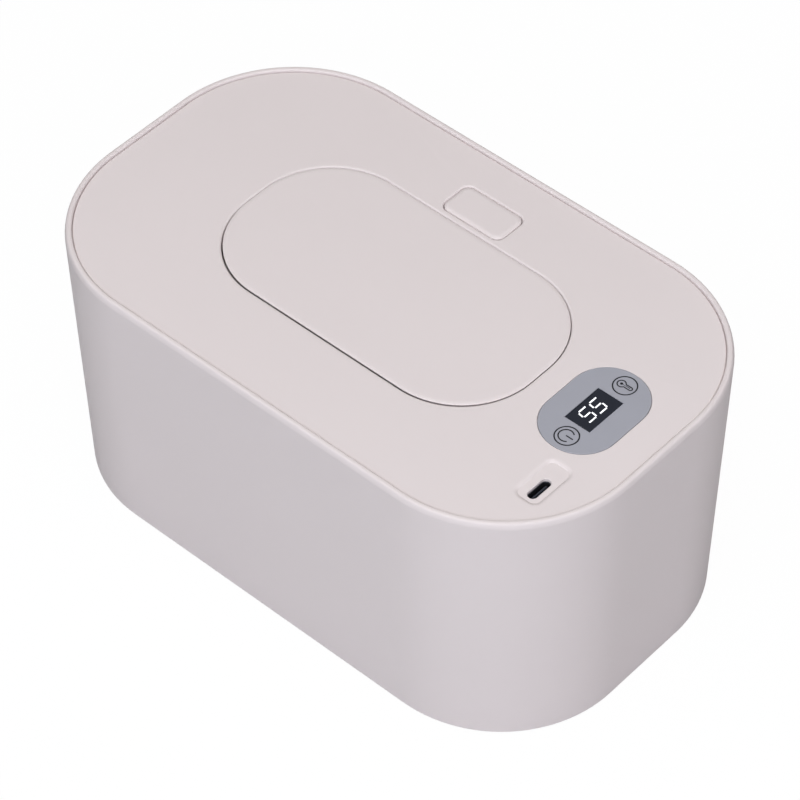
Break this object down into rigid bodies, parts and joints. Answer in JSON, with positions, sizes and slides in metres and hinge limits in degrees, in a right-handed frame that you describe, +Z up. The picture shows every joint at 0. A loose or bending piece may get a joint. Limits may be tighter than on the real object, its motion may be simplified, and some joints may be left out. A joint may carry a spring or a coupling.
{
  "type": "baby wipe warmer",
  "caption": "Round-cornered box that keeps baby wipes warm under a heated lift-off cover, with a push-button pop-up lid, a temperature display and a USB-C inlet.",
  "frame": {"origin": "centre of the footprint, at the height of the feet's soles", "axes": "+Z up, +X along the length towards the display and power inlet, +Y towards the lid's button"},
  "size_m": [0.21, 0.1268, 0.0984],
  "materials": {
    "shell_plastic": "matte moulded, warm off-white",
    "inner_plastic": "satin moulded, white",
    "silicone": "soft translucent grey silicone",
    "foot_rubber": "matte rubber",
    "panel_film": "smooth grey film",
    "lens": "smoked, near black",
    "module": "black moulded",
    "aluminium": "pressed sheet",
    "heating_foil": "amber film",
    "foam": "closed-cell foam",
    "board": "green lacquer",
    "steel": "bright wire and screws",
    "plated": "nickel plated",
    "contact_plastic": "black moulded",
    "sensor": "black bead",
    "fuse": "white sleeve",
    "lead_red": "red insulation",
    "lead_black": "black insulation"
  },
  "bodies": {
    "tub": {"outer_shell": "shell_plastic", "inner_tub": "inner_plastic", "base_plate": "shell_plastic", "foot_1": "foot_rubber", "foot_2": "foot_rubber", "foot_3": "foot_rubber", "foot_4": "foot_rubber", "base_screw_1": "steel", "base_screw_2": "steel", "base_screw_3": "steel", "base_screw_4": "steel", "lift_spring_1": "steel", "lift_spring_2": "steel", "lift_spring_3": "steel", "lift_spring_4": "steel"},
    "lift_plate": {"lift_plate": "inner_plastic"},
    "cover": {"top_cover": "shell_plastic", "inner_cover": "inner_plastic", "heating_plate": "aluminium", "heating_film": "heating_foil", "insulation_pad": "foam", "temperature_sensor": "sensor", "thermal_fuse": "fuse", "heater_lead_1": "lead_red", "heater_lead_2": "lead_black", "dispensing_insert": "silicone", "cover_gasket": "silicone", "control_board": "board", "display_module": "module", "display_lens": "lens", "panel_film": "panel_film", "touch_spring_power": "plated", "touch_spring_temperature": "plated", "usb_socket": "plated", "usb_tongue": "contact_plastic", "latch_bracket": "inner_plastic", "button_spring": "steel", "hinge_pin_left": "steel", "hinge_pin_right": "steel", "hinge_spring_left": "steel", "hinge_spring_right": "steel", "cover_screw_1": "steel", "cover_screw_2": "steel", "cover_screw_3": "steel", "cover_screw_4": "steel", "cover_screw_5": "steel", "cover_screw_6": "steel", "cover_screw_7": "steel", "cover_screw_8": "steel", "board_screw_1": "steel", "board_screw_2": "steel", "latch_screw_1": "steel", "latch_screw_2": "steel"},
    "lid": {"lid_outer": "shell_plastic", "lid_inner": "inner_plastic", "lid_gasket": "silicone"},
    "button": {"latch_button": "shell_plastic"},
    "latch": {"latch_bar": "inner_plastic"}
  },
  "joints": [
    {"name": "cover_lift", "type": "slide", "parent": "tub", "child": "cover", "axis": [0, 0, 1], "range_m": [0, 0.12]},
    {"name": "lid_hinge", "type": "hinge", "parent": "cover", "child": "lid", "pos_m": [0, -0.03496, 0.0952], "axis": [1, 0, 0], "range_deg": [0, 100]},
    {"name": "button_press", "type": "slide", "parent": "cover", "child": "button", "axis": [0, 0, -1], "range_m": [0, 0.0018], "stiffness_N_per_m": 800, "springref_m": -0.0005, "deforming": ["button_spring"]},
    {"name": "latch_slide", "type": "slide", "parent": "cover", "child": "latch", "axis": [0, 1, 0], "range_m": [0, 0.0018]},
    {"name": "lift_travel", "type": "slide", "parent": "tub", "child": "lift_plate", "axis": [0, 0, 1], "range_m": [-0.02, 0], "stiffness_N_per_m": 260, "springref_m": 0.003, "deforming": ["lift_spring_1", "lift_spring_2", "lift_spring_3", "lift_spring_4"]}
  ],
  "couplings": [
    {"joint": "latch_slide", "follows": "button_press", "ratio": 1}
  ]
}
